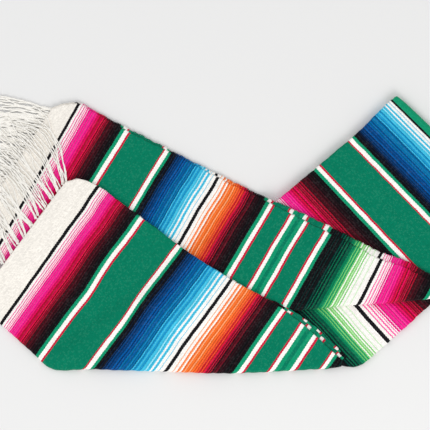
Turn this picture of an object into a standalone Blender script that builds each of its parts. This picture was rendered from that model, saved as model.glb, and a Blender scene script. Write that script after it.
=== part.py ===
# Mexican serape: one wide hand-woven blanket with fringed ends, folded lengthwise into a band of
# four layers, folded across its middle, and turned back on itself in a V.  It lies flat.
#
# Stack from the floor up: near half lower run, far half lower run, far half upper run, near half
# upper run.  Every run is a band of four layers.  Only the top layer of each run shows, and that
# layer is a cloth wall here.  What lies inside is one rounded solid with layered edges.
import bmesh
import bpy
import math
import numpy as np
from collections import namedtuple

for old in list(bpy.data.objects):
    bpy.data.objects.remove(old, do_unlink=True)

# ---- driving sizes, in millimetres -----------------------------------------------------------
CLOTH = 2.0            # one layer of the weave
GAP = 0.3              # air between pieces
BUNDLE = 9.0           # four layers of weave with the air between them
EASE_IN = 6.0          # the cloth starts to ease down this far inside an edge below it
EASE_OUT = 36.0        # and meets the lower level this far outside that edge
EDGE_ROLL = 2.2        # radius at a selvage or at a fold of two layers
TONGUE = 5.0           # how far a wrapped layer runs on underneath
SELVAGE_TUCK = 4.6     # how far a lower layer's strip reaches in under the top one
FRINGE_THICK = 5.0     # a bed of loose cords

# ---- the cut of the runs ---------------------------------------------------------------------
# A row is one weft line right across the band: its distance along the warp from the fringed end,
# the point where it meets the upper outline and the point where it meets the lower one.
Row = namedtuple("Row", "warp ux uy lx ly")

NEAR_UPPER = [Row(*r) for r in (
    (0, -296, 105, -478, -136),
    (30, -268, 110, -454, -157),
    (60, -234, 97, -430, -179),
    (110, -195, 69, -395, -210),
    (162, -154, 39, -358, -244),
    (199, -123, 17, -331, -268),
    (274, -62, -29, -241, -271),
    (378, 32, -89, -101, -276),
    (490, 129, -144, 36, -279),
    (553, 181, -183, 119, -276),
    (620, 235, -233, 210, -271),
    (643, 251, -248, 237, -270),
)]
FAR_UPPER = [Row(*r) for r in (
    (0, -324, 252, -498, -12),
    (25, -302, 258, -474, -28),
    (60, -274, 260, -446, -44),
    (110, -230, 237, -408, -65),
    (162, -184, 212, -369, -85),
    (274, -86, 162, -268, -137),
    (378, 5, 115, -172, -187),
    (400, 24, 105, -142, -180),
    (490, 104, 65, -36, -171),
    (553, 161, 37, 42, -164),
    (638, 235, -1, 146, -155),
    (690, 281, -24, 211, -149),
    (748, 331, -50, 284, -142),
    (800, 380, -66, 348, -139),
    (860, 437, -99, 418, -132),
    (872, 446, -106, 432, -132),
)]
FAR_LOWER = [Row(*r) for r in (
    (430, -121, -142, -100, -177),
    (490, -89, -115, -36, -171),
    (638, 21, -22, 146, -155),
    (748, 105, 48, 284, -142),
    (800, 142, 80, 348, -139),
    (860, 194, 124, 434, -132),
    (885, 213, 140, 464, -125),
    (920, 240, 163, 490, -92),
    (972, 280, 196, 525, -54),
    (1074, 353, 267, 602, 21),
    (1103, 365, 275, 614, 36),
)]
NEAR_LOWER = [Row(*r) for r in (
    (250, -295, -241, -264, -270),
    (274, -279, -229, -241, -271),
    (378, -199, -171, -101, -276),
    (490, -119, -112, 36, -279),
    (627, 1, -25, 229, -270),
    (672, 36, 0, 284, -266),
    (705, 64, 22, 312, -249),
    (748, 99, 47, 347, -219),
    (800, 144, 81, 396, -175),
    (860, 192, 122, 446, -128),
    (972, 280, 193, 526, -50),
    (1074, 350, 262, 598, 20),
    (1103, 362, 271, 612, 33),
)]
# A fringe row is one cord: where it leaves the cloth, where it bends, and where it ends.
Cord = namedtuple("Cord", "rx ry bx by tx ty")
NEAR_FRINGE = [Cord(*c) for c in (
    (-303, 105, -324, 188, -418, 244),
    (-344, 44, -398, 112, -498, 152),
    (-410, -43, -478, 12, -556, 58),
    (-478, -128, -544, -84, -618, -44),
)]
FAR_FRINGE = [Cord(*c) for c in (
    (-330, 250, -408, 266, -472, 272),
    (-378, 175, -448, 208, -520, 232),
    (-441, 78, -512, 108, -584, 136),
    (-499, -8, -560, 24, -626, 56),
)]


# ---- plan shapes -----------------------------------------------------------------------------
def spread(table, count):
    """Rows of a table at even steps, by a smooth curve through every named column."""
    data = np.array(table, float)
    along = data[:, 0] if hasattr(table[0], "warp") else np.arange(len(data), dtype=float)
    slope = np.gradient(data, along, axis=0)
    at = np.linspace(along[0], along[-1], count)
    out = []
    for s in at:
        i = min(max(int(np.searchsorted(along, s)) - 1, 0), len(along) - 2)
        h = along[i + 1] - along[i]
        f = (s - along[i]) / h
        a = (1 + 2 * f) * (1 - f) ** 2
        b = f * (1 - f) ** 2
        c = f * f * (3 - 2 * f)
        d = f * f * (f - 1)
        out.append(a * data[i] + b * h * slope[i] + c * data[i + 1] + d * h * slope[i + 1])
    return np.array(out)


def grid_of(table, rows, across):
    """Plan points [row, column] between the upper and the lower outline."""
    data = spread(table, rows)
    t = np.linspace(0, 1, across)[None, :, None]
    return data[:, None, 1:3] * (1 - t) + data[:, None, 3:5] * t


def rim_index(rows, across):
    """The grid's border as one loop of (row, column), with the side each point is on."""
    loop = [(i, 0, "upper") for i in range(rows - 1)]
    loop += [(rows - 1, j, "last") for j in range(across - 1)]
    loop += [(i, across - 1, "lower") for i in range(rows - 1, 0, -1)]
    loop += [(0, j, "first") for j in range(across - 1, 0, -1)]
    return loop


def outward(loop):
    """Unit normals of a closed loop, away from its inside."""
    area = np.cross(loop, np.roll(loop, -1, 0)).sum()
    step = np.roll(loop, -1, 0) - np.roll(loop, 1, 0)
    n = np.stack([step[:, 1], -step[:, 0]], 1) * (1 if area > 0 else -1)
    return n / np.linalg.norm(n, axis=1)[:, None]


def outline(table, rows=60, across=6):
    g = grid_of(table, rows, across)
    return np.array([g[i, j] for i, j, _ in rim_index(rows, across)])


def distance(points, loop):
    """Signed distance from a closed loop, below zero inside it."""
    p = np.asarray(points, float)
    a = loop[None]
    b = np.roll(loop, -1, 0)[None]
    q = p[:, None]
    ab = b - a
    t = np.clip(((q - a) * ab).sum(2) / np.maximum((ab ** 2).sum(2), 1e-9), 0, 1)
    d = np.linalg.norm(q - a - t[..., None] * ab, axis=2).min(1)
    up = (a[..., 1] <= q[..., 1]) != (b[..., 1] <= q[..., 1])
    side = a[..., 0] + (q[..., 1] - a[..., 1]) / np.where(ab[..., 1] == 0, 1, ab[..., 1]) * ab[..., 0]
    inside = (up & (q[..., 0] < side)).sum(1) % 2 == 1
    return np.where(inside, -d, d)


# ---- heights of the stack --------------------------------------------------------------------
FOOT = {
    "near_lower": outline(NEAR_LOWER),
    "far_lower": outline(FAR_LOWER),
    "far_upper": outline(FAR_UPPER),
}
BELOW = {
    "near_lower": (),
    "far_lower": ("near_lower",),
    "far_upper": ("near_lower", "far_lower"),
    "near_upper": ("near_lower", "far_lower", "far_upper"),
}


def present(points, name):
    f = np.clip((EASE_OUT - distance(points, FOOT[name])) / (EASE_OUT + EASE_IN), 0, 1)
    return f * f * (3 - 2 * f)


def top_of(points, run):
    """Height of a run's top surface over the floor."""
    p = np.asarray(points, float).reshape(-1, 2)
    z = np.full(len(p), BUNDLE)
    for name in BELOW[run]:
        z += BUNDLE * present(p, name)
    return z


# ---- edges -----------------------------------------------------------------------------------
# What each side of a run does.  A "wrap" is the outermost layer going right round the folded
# edge, down to level `seat` bundles; a "turn" is the top layer folded under on the second; a
# "hem" is a plain selvage.
Side = namedtuple("Side", "kind seat")
EDGES = {
    "near_upper": {"upper": Side("turn", 0), "lower": Side("wrap", 0),
                   "first": Side("turn", 0), "last": Side("hem", 0)},
    "far_upper": {"upper": Side("hem", 0), "lower": Side("wrap", 1),
                  "first": Side("turn", 0), "last": Side("hem", 0)},
    "far_lower": {"upper": Side("wrap", 1), "lower": Side("turn", 0),
                  "first": Side("turn", 0), "last": Side("wrap", 0)},
    "near_lower": {"upper": Side("turn", 0), "lower": Side("turn", 0),
                   "first": Side("turn", 0), "last": Side("turn", 0)},
}
ROLL_STEPS = 4


def rim_of(run, table, rows, across, drop=0):
    """The border of a run: its loop points, normals, roll radii and kinds.  Corners just turn."""
    g = grid_of(table, rows, across)[:rows - drop]
    rows -= drop
    index = rim_index(rows, across)
    loop = np.array([g[i, j] for i, j, _ in index])
    normal = outward(loop)
    width = np.linalg.norm(g[:, 0] - g[:, -1], axis=1)
    kinds = []
    radius = []
    for k, (i, j, side) in enumerate(index):
        edge = EDGES[run][side]
        corner = i in (0, rows - 1) and j in (0, across - 1)
        if corner or drop and side == "last":
            edge = Side("hem" if i else "turn", 0)
        r = EDGE_ROLL
        if edge.kind == "wrap":
            for _ in range(6):
                inner = [loop[k] - normal[k] * r]
                seat = BUNDLE * present(inner, "near_lower")[0] + GAP if edge.seat else 0.0
                r = (top_of(inner, run)[0] - seat) / 2
        kinds.append(edge.kind)
        radius.append(min(r, 0.45 * width[i]) if edge.kind == "wrap" else r)
    return g, index, loop, normal, np.array(radius), kinds


def mesh_object(name, points, faces, colour, rough=0.9):
    mesh = bpy.data.meshes.new(name)
    mesh.from_pydata([tuple(np.asarray(p, float) * 0.001) for p in points], [], faces)
    mesh.validate()
    obj = bpy.data.objects.new(name, mesh)
    bpy.context.scene.collection.objects.link(obj)
    mat = bpy.data.materials.new(name)
    mat.use_nodes = True
    shader = mat.node_tree.nodes["Principled BSDF"]
    shader.inputs["Base Color"].default_value = (*colour, 1)
    shader.inputs["Roughness"].default_value = rough
    mesh.materials.append(mat)
    face_out(mesh)
    return obj


def face_out(mesh):
    """Turns every face round if the closed body encloses a negative volume."""
    volume = 0.0
    mesh.calc_loop_triangles()
    for t in mesh.loop_triangles:
        a, b, c = (mesh.vertices[v].co for v in t.vertices)
        volume += a.dot(b.cross(c))
    if volume < 0:
        mesh.flip_normals()


def skin(points, faces, grid, flip):
    """Adds a grid [row, column, xyz] to points and returns its vertex numbers."""
    n, m = grid.shape[:2]
    base = len(points)
    points.extend(grid.reshape(-1, 3))
    number = base + np.arange(n * m).reshape(n, m)
    for i in range(n - 1):
        for j in range(m - 1):
            a, b, c, d = [int(number[u]) for u in ((i, j), (i + 1, j), (i + 1, j + 1), (i, j + 1))]
            faces.extend([[c, b, a], [d, c, a]] if flip else [[a, b, c], [a, c, d]])
    return number


def bridge(faces, a, b, rising=False):
    """Triangles between two closed rings of vertex numbers, split one way or the other."""
    n = len(a)
    for k in range(n):
        p, q, r, s = [int(x) for x in (a[k], a[(k + 1) % n], b[(k + 1) % n], b[k])]
        faces.extend([[p, q, r], [p, r, s]] if rising else [[p, q, s], [q, r, s]])


def inset_grid(g, index, loop, normal, inset):
    """The grid drawn in from its border by its own inset at each border point."""
    out = g.copy()
    for k, (i, j, _) in enumerate(index):
        out[i, j] = loop[k] - normal[k] * inset[k]
    n, m = g.shape[:2]
    for i in range(1, n - 1):
        for j in range(1, m - 1):
            t = j / (m - 1)
            out[i, j] = out[i, 0] * (1 - t) + out[i, m - 1] * t
    return out


def lift(plan, run, drop):
    n, m = plan.shape[:2]
    z = top_of(plan.reshape(-1, 2), run).reshape(n, m, 1) - drop
    return np.concatenate([plan, z], 2)


def wall(name, run, table, rows, across, colour):
    """The layer that shows: a wall with its rolled rim, closed by an inner skin."""
    g, index, loop, normal, radius, kinds = rim_of(run, table, rows, across)
    plan = inset_grid(g, index, loop, normal, radius)
    points = []
    faces = []
    outer = skin(points, faces, lift(plan, run, 0.0), False)
    inner = skin(points, faces, lift(plan, run, CLOTH), True)
    start = np.array([plan[i, j] for i, j, _ in index])
    top = top_of(start, run)
    ring_out = np.array([outer[i, j] for i, j, _ in index])
    ring_in = np.array([inner[i, j] for i, j, _ in index])
    reach = np.array([math.pi / 2 if k == "hem" else math.pi for k in kinds])
    tongue = np.array([TONGUE if k == "wrap" else 0.6 for k in kinds])
    tongue = np.where(reach < 3, 0.0, tongue)
    near_corner = [min(i, rows - 1 - i) < 2 and min(j, across - 1 - j) < 2 for i, j, _ in index]
    tongue = np.where(near_corner, np.minimum(tongue, 0.6), tongue)
    for step in range(1, ROLL_STEPS + 1):
        a = reach * step / ROLL_STEPS
        xy = start + normal * (radius * np.sin(a))[:, None]
        z = top - radius * (1 - np.cos(a))
        ring = len(points) + np.arange(len(start))
        points.extend(np.column_stack([xy, z]))
        bridge(faces, ring, ring_out)
        ring_out = ring
        thin = radius - CLOTH
        xy = start + normal * (thin * np.sin(a))[:, None]
        z = top - radius + thin * np.cos(a)
        ring = len(points) + np.arange(len(start))
        points.extend(np.column_stack([xy, z]))
        bridge(faces, ring_in, ring, True)
        ring_in = ring
    end = start - normal * tongue[:, None]
    low = np.where(reach < 3, top - radius, top - 2 * radius)
    if tongue.max() > 0:
        out_xy = np.where(reach[:, None] < 3, start + normal * (radius * 0.98)[:, None], end)
        in_xy = np.where(reach[:, None] < 3, start + normal * ((radius - CLOTH) * 1.2)[:, None], end)
        in_z = np.where(reach < 3, low, low + CLOTH)
        ring = len(points) + np.arange(len(start))
        points.extend(np.column_stack([out_xy, np.where(reach < 3, low - 0.05, low)]))
        bridge(faces, ring, ring_out)
        ring_out = ring
        ring = len(points) + np.arange(len(start))
        points.extend(np.column_stack([in_xy, np.where(reach < 3, low - 0.05, in_z)]))
        bridge(faces, ring_in, ring, True)
        ring_in = ring
    bridge(faces, ring_in, ring_out)
    return mesh_object(name, points, faces, colour)


# Profiles of the inner solid's side, as (inset from the outline, drop from the run's top) down
# to the bundle's underside: three grooved layers, or two with a notch for a strip.
Step = namedtuple("Step", "inset drop")
LAYERED = [Step(*s) for s in (
    (5.8, 3.3), (5.8, 4.75), (1.8, 5.5), (1.2, 6.6), (2.4, 6.8), (0.8, 7.0), (0.8, 8.6), (2.4, 8.9),
)]
HEM_NOTCH = [Step(*s) for s in (
    (5.6, 3.3), (5.6, 4.75), (0.9, 5.0), (0.9, 6.6), (2.4, 6.8), (0.8, 7.0), (0.8, 8.6), (2.4, 8.9),
)]
DEEP_NOTCH = [Step(*s) for s in (
    (5.6, 3.3), (5.6, 4.4), (5.6, 5.6), (5.6, 6.85), (0.9, 7.0), (0.8, 7.3), (0.8, 8.6), (2.4, 8.9),
)]
ROUND = [Step(*s) for s in (
    (14.0, 3.3), (12.0, 0.2), (5.0, 0.2), (2.6, 1.0), (0.8, 3.4), (0.8, 5.6), (2.4, 8.0), (4.5, 8.8),
)]
NOTCH_FROM = 560.0     # warp distance where the near run's second layer starts to show
WRAP_ROOM = 25.0       # along a weft line, clear of the layer that wraps round
NEAR_TIP = 680.0       # warp distance where the near half's lower run comes out of its fold
FAR_TIP = 905.0        # and where the far half's does
CORE_GAP = CLOTH + 1.6
CORNER_SHRINK = 0.45   # the inner layers pull back from a folded corner


def core_block(run, table, rows, across, base, drop=0):
    """One run's part of the inner solid, from under its wall down to the floor."""
    g, index, loop, normal, radius, kinds = rim_of(run, table, rows, across, drop)
    warp = spread(table, rows)[:, 0]
    rows -= drop
    profiles = []
    for k, (i, j, side) in enumerate(index):
        top = top_of([loop[k] - normal[k] * radius[k]], run)[0]
        r = radius[k]
        if kinds[k] == "wrap":
            q = max(r - CORE_GAP, 1.2)
            if min(i, rows - 1 - i) < 2 and min(j, across - 1 - j) < 2:
                q *= CORNER_SHRINK
            arc = [Step(r - q * math.sin(a), r - q * math.cos(a))
                   for a in np.linspace(0, math.pi, 7)]
            steps = arc + [Step(r + TONGUE + 0.4, r + q)]
            foot = r + TONGUE + 0.4
        else:
            steps = HEM_NOTCH if kinds[k] == "hem" else LAYERED
            if run == "near_upper" and side in ("upper", "last") and warp[i] > NOTCH_FROM:
                steps = DEEP_NOTCH
            foot = 3.0
            if run == "near_lower" and side == "upper" and 0 < i:
                steps = ROUND
                foot = 5.0
        profiles.append((top, steps, foot))
    points = []
    faces = []
    first = np.array([s[1][0].inset for s in profiles])
    pitch = np.linalg.norm(g[:, 1] - g[:, 0], axis=1)[[i for i, _, _ in index]]
    near = (first - radius < 4) & (first < 0.8 * pitch)
    plan = inset_grid(g, index, loop, normal, np.where(near, radius, first))
    high = lift(plan, run, CORE_GAP)
    for k, (i, j, side) in enumerate(index):
        if near[k] and side in ("upper", "lower") and 0 < i < rows - 1:
            inner = high[i, 1 if side == "upper" else across - 2]
            share = (first[k] - radius[k]) / np.linalg.norm((inner - high[i, j])[:2])
            high[i, j] += (inner - high[i, j]) * share
        else:
            high[i, j, :2] = loop[k] - normal[k] * first[k]
    upper = skin(points, faces, high, False)
    ring = np.array([upper[i, j] for i, j, _ in index])
    for level in range(1, 9):
        new = []
        for k, (top, steps, foot) in enumerate(profiles):
            if level < 8:
                xy = loop[k] - normal[k] * steps[level].inset
                z = top - steps[level].drop
            else:
                xy = loop[k] - normal[k] * foot
                z = -base
            new.append(np.array([*xy, z]))
        low = len(points) + np.arange(len(new))
        points.extend(new)
        bridge(faces, low, ring)
        ring = low
    plan = inset_grid(g, index, loop, normal, np.array([p[2] for p in profiles]))
    flat = np.concatenate([plan, np.full((*plan.shape[:2], 1), -base)], 2)
    under = skin(points, faces, flat, True)
    swap = {int(under[i, j]): int(ring[k]) for k, (i, j, _) in enumerate(index)}
    faces = [[swap.get(v, v) for v in f] for f in faces]
    return mesh_object("block_" + run, points, faces, (0.5, 0.5, 0.5))


def drawn_in(table, until):
    """The table with its lower outline pulled in where another run wraps round it."""
    out = []
    for r in table:
        width = math.hypot(r.ux - r.lx, r.uy - r.ly)
        share = WRAP_ROOM / width if r.warp < until else 0.0
        out.append(Row(r.warp, r.ux, r.uy, r.lx + (r.ux - r.lx) * share, r.ly + (r.uy - r.ly) * share))
    return out


def prism(name, loop, low, high):
    points = [(*p, low) for p in loop] + [(*p, high) for p in loop]
    n = len(loop)
    faces = [list(range(n))[::-1], list(range(n, 2 * n))]
    faces += [[k, (k + 1) % n, n + (k + 1) % n, n + k] for k in range(n)]
    return mesh_object(name, points, faces, (0.5, 0.5, 0.5))


def combine(obj, other, how):
    mod = obj.modifiers.new("join", "BOOLEAN")
    mod.operation = how
    mod.solver = "EXACT"
    mod.object = other
    graph = bpy.context.evaluated_depsgraph_get()
    made = bpy.data.meshes.new_from_object(obj.evaluated_get(graph))
    obj.modifiers.clear()
    obj.data = made
    bpy.data.objects.remove(other, do_unlink=True)


# Where a wrap meets a corner or a pointed end, the inner layers stop short of it.
Clear = namedtuple("Clear", "run side start end depth low high")
CLEARINGS = [Clear(*c) for c in (
    ("near_upper", "lower", 575, 643, 15.0, -30.0, 16.0),
    ("near_upper", "lower", 0, 26, 10.5, -30.0, 8.0),
    ("far_upper", "lower", 770, 872, 15.0, 9.15, 26.0),
    ("far_upper", "lower", 0, 32, 10.5, -30.0, 8.0),
    ("far_lower", "upper", 1030, 1103, 11.0, 8.9, 17.0),
    ("far_lower", "lower", 915, 1103, 3.6, 12.3, 16.5),
)]
TABLES = {"near_upper": (NEAR_UPPER, 38, 9), "far_upper": (FAR_UPPER, 42, 8), "far_lower": (FAR_LOWER, 31, 9)}


def clearing(c):
    """A block along part of one side of a run, reaching in by its depth."""
    table, rows, across = TABLES[c.run]
    warp = spread(table, rows)[:, 0]
    g, index, loop, normal, _, _ = rim_of(c.run, table, rows, across)
    j = 0 if c.side == "upper" else across - 1
    order = {(i, jj): k for k, (i, jj, _) in enumerate(index)}
    picked = [order[i, j] for i in range(rows) if c.start <= warp[i] <= c.end]
    side = np.array([loop[k] for k in picked])
    step = np.gradient(side, axis=0)
    n = np.stack([-step[:, 1], step[:, 0]], 1)
    n /= np.linalg.norm(n, axis=1)[:, None]
    n *= np.sign((n * (side - g[:, across // 2][len(g) // 2])).sum(1))[:, None]
    along = step / np.linalg.norm(step, axis=1)[:, None]
    side[0] -= along[0] * (8.0 if c.start == 0 else 0.0)
    side[-1] += along[-1] * (8.0 if c.end > warp[-1] - 1 else 0.0)
    ring = np.concatenate([side + n * 6.0, (side - n * c.depth)[::-1]])
    return prism("clearing", ring, c.low, c.high)


def cutter(run, table, rows, across, inset, past_wrap=None):
    """A tall block over a run's plan, drawn in by a distance for each kind of edge."""
    g, index, loop, normal, radius, kinds = rim_of(run, table, rows, across)
    depth = np.full(len(loop), inset)
    for k, r in enumerate(radius):
        if kinds[k] == "wrap":
            depth[k] = r + TONGUE if past_wrap is None else past_wrap
    return prism("cut_" + run, loop - normal * depth[:, None], -5.0, 80.0)


# ---- strips of the second layer that show past the top one ------------------------------------
Strip = namedtuple("Strip", "warp reach")
FAR_SELVAGE = [Strip(*s) for s in ((64, 4), (274, 4), (378, 5), (490, 8), (638, 12), (760, 13), (860, 11))]
NEAR_SELVAGE = [Strip(*s) for s in ((575, 3), (600, 8), (625, 12), (648, 14))]


def strip(name, run, table, rows, across, rule, drop, colour):
    """A run of the second layer's edge, made from the top layer's outline, moved out and down."""
    data = spread(table, rows)
    g = grid_of(table, rows, across)
    index = rim_index(rows, across)
    loop = np.array([g[i, j] for i, j, _ in index])
    normal = outward(loop)
    at = [s.warp for s in rule]
    reach = [s.reach for s in rule]
    section = []
    for k, (i, j, side) in enumerate(index):
        if side == "upper" and at[0] <= data[i, 0] <= at[-1] and i > 1:
            out = float(np.interp(data[i, 0], at, reach))
            top = top_of([loop[k] - normal[k] * EDGE_ROLL], run)[0] - drop
            edge = loop[k] + normal[k] * out
            mid = loop[k] + normal[k] * (out - 0.8)
            tuck = loop[k] - normal[k] * SELVAGE_TUCK
            thick = CLOTH - 0.1
            section.append([
                (*tuck, top), (*mid, top), (*edge, top - 0.6),
                (*edge, top - thick + 0.6), (*mid, top - thick), (*tuck, top - thick),
            ])
    section = np.array(section)
    points = list(section.reshape(-1, 3))
    faces = []
    number = np.arange(len(points)).reshape(len(section), 6)
    for i in range(len(section) - 1):
        bridge(faces, number[i + 1], number[i])
    faces.append([int(x) for x in number[0]])
    faces.append([int(x) for x in number[-1][::-1]])
    return mesh_object(name, points, faces, colour)


# ---- fringe ----------------------------------------------------------------------------------
def bed(name, table, base_of, thick, colour):
    """A bed of loose cords as one plain slab of its reach, on whatever lies below."""
    data = spread(table, 13)
    steps = 12
    plan = []
    for row in data:
        root, bend, tip = row[0:2], row[2:4], row[4:6]
        t = np.linspace(0, 1, steps)[:, None]
        plan.append((1 - t) ** 2 * root + 2 * t * (1 - t) * bend + t * t * tip)
    plan = np.array(plan)
    floor = base_of(plan.reshape(-1, 2)).reshape(plan.shape[:2])
    across = np.linspace(0, 1, len(data))[:, None]
    fade = 0.45 + 0.55 * np.sqrt(np.clip(1 - (2 * across - 1) ** 6, 0, 1))
    along = np.linspace(0, 1, steps)[None, :]
    height = thick * fade * (1 - 0.5 * along ** 3)
    points = []
    faces = []
    low = skin(points, faces, np.dstack([plan, floor]), True)
    high = skin(points, faces, np.dstack([plan, floor + height]), False)
    index = rim_index(*plan.shape[:2])
    bridge(faces, [low[i, j] for i, j, _ in index], [high[i, j] for i, j, _ in index])
    return mesh_object(name, points, faces, colour)


def on_far_end(points):
    """What the near fringe lies on: the far upper run, then the far fringe, then the floor."""
    run = (BUNDLE + GAP) * present(points, "far_upper")
    f = np.clip((EASE_OUT - distance(points, FAR_BED)) / (EASE_OUT + EASE_IN), 0, 1)
    return np.maximum(run, (FRINGE_THICK + 0.6) * f * f * (3 - 2 * f)) + 1.6


def on_floor(points):
    return np.zeros(len(points))


FAR_BED = np.array(
    [(c.rx, c.ry) for c in FAR_FRINGE] + [(c.tx, c.ty) for c in reversed(FAR_FRINGE)], float)

# ---- build -----------------------------------------------------------------------------------
near_upper = wall("near_upper_run", "near_upper", NEAR_UPPER, 38, 9, (0.0, 0.22, 0.12))
far_upper = wall("far_upper_run", "far_upper", FAR_UPPER, 42, 8, (0.75, 0.03, 0.25))
far_lower = wall("far_lower_run", "far_lower", FAR_LOWER, 31, 9, (0.0, 0.1, 0.45))
SHOWN_SHARE = 0.7      # the rest of the near half's lower run lies under the far half
NEAR_SHOWN = [Row(r.warp, r.lx + (r.ux - r.lx) * SHOWN_SHARE, r.ly + (r.uy - r.ly) * SHOWN_SHARE,
                  r.lx, r.ly) for r in NEAR_LOWER[3:9] + [Row(845, 180, 112, 434, -140)]]
near_lower = wall("near_lower_run", "near_lower", NEAR_SHOWN, 22, 7, (0.0, 0.1, 0.06))

# Each block starts at its own depth, and the floor plane trims them all level.
core = core_block("near_lower", drawn_in(NEAR_LOWER[2:-1], NEAR_TIP), 24, 6, 4.0)
combine(core, core_block("far_lower", drawn_in(FAR_LOWER[1:], FAR_TIP), 23, 6, 3.0, 1), "UNION")
combine(core, core_block("far_upper", FAR_UPPER, 42, 8, 2.0, 2), "UNION")
combine(core, core_block("near_upper", NEAR_UPPER, 38, 9, 1.0, 2), "UNION")
FLOOR_BOX = np.array([(-900, -900), (900, -900), (900, 900), (-900, 900)], float)
combine(core, prism("floor_box", FLOOR_BOX, -20.0, 0.0), "DIFFERENCE")
for c in CLEARINGS:
    combine(core, clearing(c), "DIFFERENCE")
core.name = "hidden_layers"
core.data.name = "hidden_layers"

NU = ("near_upper", NEAR_UPPER, 38, 9)
FU = ("far_upper", FAR_UPPER, 42, 8)
combine(far_upper, cutter(*NU, 0.3), "DIFFERENCE")
combine(far_lower, cutter(*FU, 0.3, -6.0), "DIFFERENCE")
combine(near_lower, cutter(*NU, -0.4, -6.0), "DIFFERENCE")
combine(near_lower, cutter(*FU, 0.3), "DIFFERENCE")
combine(near_lower, cutter("far_lower", FAR_LOWER, 31, 9, 0.3), "DIFFERENCE")

strip("far_upper_selvage", "far_upper", FAR_UPPER, 42, 8, FAR_SELVAGE, 2.5, (0.8, 0.78, 0.7))
strip("near_upper_selvage", "near_upper", NEAR_UPPER, 38, 9, NEAR_SELVAGE, 4.7, (0.8, 0.78, 0.7))
bed("near_fringe", NEAR_FRINGE, on_far_end, FRINGE_THICK, (0.85, 0.8, 0.7))
bed("far_fringe", FAR_FRINGE, on_floor, FRINGE_THICK, (0.85, 0.8, 0.7))

# ---- flat stretches need no extra points -------------------------------------------------------
FLAT_ANGLE = math.radians(1.2)
for obj in (core, near_upper, far_upper, far_lower, near_lower):
    body = bmesh.new()
    body.from_mesh(obj.data)
    bmesh.ops.dissolve_limit(body, angle_limit=FLAT_ANGLE, verts=body.verts, edges=body.edges)
    bmesh.ops.triangulate(body, faces=body.faces)
    body.to_mesh(obj.data)
    body.free()

# ---- origin at the middle of the underside ----------------------------------------------------
everything = [o for o in bpy.data.objects if o.type == "MESH"]
corners = np.array([v.co for o in everything for v in o.data.vertices])
shift = -(corners.min(0) + corners.max(0)) / 2
shift[2] = -corners[:, 2].min()
for obj in everything:
    for v in obj.data.vertices:
        v.co = v.co + type(v.co)(shift)
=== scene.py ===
# A hand-woven serape: one wide striped blanket with fringed ends, folded lengthwise into a band of
# four layers, folded across its middle and turned back on itself in a V.  It lies flat on a floor.
import math
import bpy
import numpy as np
from collections import namedtuple
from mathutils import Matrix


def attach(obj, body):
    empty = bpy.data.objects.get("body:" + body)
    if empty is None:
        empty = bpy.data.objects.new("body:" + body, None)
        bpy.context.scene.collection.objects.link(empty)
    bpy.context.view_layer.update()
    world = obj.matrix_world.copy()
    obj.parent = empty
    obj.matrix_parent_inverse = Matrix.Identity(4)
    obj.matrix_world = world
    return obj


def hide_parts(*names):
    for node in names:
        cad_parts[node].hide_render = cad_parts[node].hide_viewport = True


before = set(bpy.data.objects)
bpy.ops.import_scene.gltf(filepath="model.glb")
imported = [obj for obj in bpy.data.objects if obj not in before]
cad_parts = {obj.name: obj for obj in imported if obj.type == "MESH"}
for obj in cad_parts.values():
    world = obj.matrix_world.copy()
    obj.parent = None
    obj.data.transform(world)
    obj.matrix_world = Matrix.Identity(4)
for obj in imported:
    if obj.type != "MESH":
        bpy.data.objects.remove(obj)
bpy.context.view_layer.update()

# ---- the floor, the light and the camera -------------------------------------------------------
# A matte white sheet under the blanket, one big soft lamp low on the near side and a white room.
# The camera hangs straight over the fold with a long lens.
FLOOR_TONE = (0.815, 0.815, 0.815)
FLOOR_HALF = 6.0
FLOOR_TOP = -0.0004            # a hair under the cloth, so that the two faces don't flicker
SIGHT = (0.008, 0.040)         # the point the camera looks down on
SIGHT_WIDE = 0.86              # how much floor the camera takes in
CAMERA_HIGH = 6.0
STACK_MIDDLE = 0.018           # half the height of the folded stack

scene = bpy.context.scene
floor_mesh = bpy.data.meshes.new("floor")
floor_corners = [(x * FLOOR_HALF, y * FLOOR_HALF, FLOOR_TOP) for x, y in ((-1, -1), (1, -1), (1, 1), (-1, 1))]
floor_mesh.from_pydata(floor_corners, [], [(0, 1, 2, 3)])
floor = bpy.data.objects.new("floor", floor_mesh)
scene.collection.objects.link(floor)
paper = bpy.data.materials.new("matte paper")
paper.use_nodes = True
paper_shader = paper.node_tree.nodes["Principled BSDF"]
paper_shader.inputs["Base Color"].default_value = (*FLOOR_TONE, 1)
paper_shader.inputs["Roughness"].default_value = 0.95
paper_shader.inputs["Specular IOR Level"].default_value = 0.1
floor_mesh.materials.append(paper)

room = bpy.data.worlds.new("white room")
room.use_nodes = True
room.node_tree.nodes["Background"].inputs["Color"].default_value = (1.0, 1.0, 1.0, 1)
room.node_tree.nodes["Background"].inputs["Strength"].default_value = 0.80
scene.world = room
scene.view_settings.view_transform = "Standard"

Lamp = namedtuple("Lamp", "name x y z wide watts tint")
for lamp in (
    Lamp("window", 0.9, -2.6, 2.6, 1.8, 46.0, (1.0, 0.985, 0.96)),
    Lamp("fill", -2.2, 1.4, 3.0, 2.4, 14.0, (0.95, 0.98, 1.0)),
):
    light = bpy.data.lights.new(lamp.name, "AREA")
    light.size = lamp.wide
    light.energy = lamp.watts
    light.color = lamp.tint
    held = bpy.data.objects.new(lamp.name, light)
    held.location = (lamp.x, lamp.y, lamp.z)
    aim = -np.array([lamp.x, lamp.y, lamp.z])
    held.rotation_euler = (math.atan2(math.hypot(aim[0], aim[1]), -aim[2]), 0, math.atan2(-aim[0], aim[1]))
    scene.collection.objects.link(held)

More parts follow.
